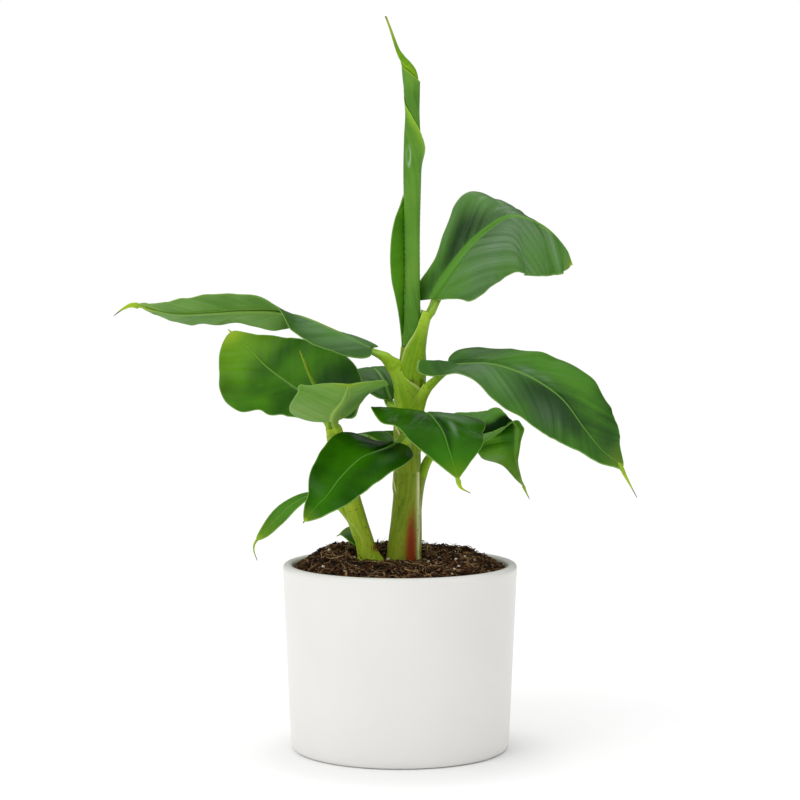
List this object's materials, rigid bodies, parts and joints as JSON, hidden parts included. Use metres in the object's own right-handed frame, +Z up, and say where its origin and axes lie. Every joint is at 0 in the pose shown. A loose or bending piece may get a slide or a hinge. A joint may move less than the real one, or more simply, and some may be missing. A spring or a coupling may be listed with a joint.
{
  "type": "potted banana plant",
  "caption": "Young banana plant with a leaning sucker, arching broad leaves and a tall rolled leaf, growing in a plain round white pot.",
  "frame": {"origin": "middle of the pot's flat underside, on the ground it stands on", "axes": "+Z up along the plant, +X to the right and -Y to the front as the plant is first seen"},
  "size_m": [0.4199, 0.1941, 0.59],
  "materials": {
    "pot": "satin",
    "potting_mix": "matte",
    "stem": "satin",
    "petiole": "satin",
    "blade": "satin"
  },
  "bodies": {
    "root": {"pot": "pot", "potting_mix": "potting_mix", "main_stem": "stem", "sucker_stem": "stem", "petiole_upper_right": "petiole", "petiole_long_left": "petiole", "petiole_broad_right": "petiole", "petiole_sucker_broad": "petiole", "petiole_sucker_cupped": "petiole", "petiole_front_left": "petiole", "petiole_front_right": "petiole", "petiole_right_gutter": "petiole", "petiole_low_left": "petiole", "petiole_back_left": "petiole", "petiole_back_low": "petiole", "petiole_sucker_low_back": "petiole", "spear_leaf": "blade", "sucker_spear_leaf": "blade", "spear_flap": "blade", "leaf_upper_right": "blade", "leaf_long_left": "blade", "leaf_broad_right": "blade", "leaf_sucker_broad": "blade", "leaf_sucker_cupped": "blade", "leaf_front_left": "blade", "leaf_front_right": "blade", "leaf_right_gutter": "blade", "leaf_low_left": "blade", "leaf_back_left": "blade", "leaf_back_low": "blade", "leaf_sucker_low_back": "blade"}
  },
  "joints": []
}
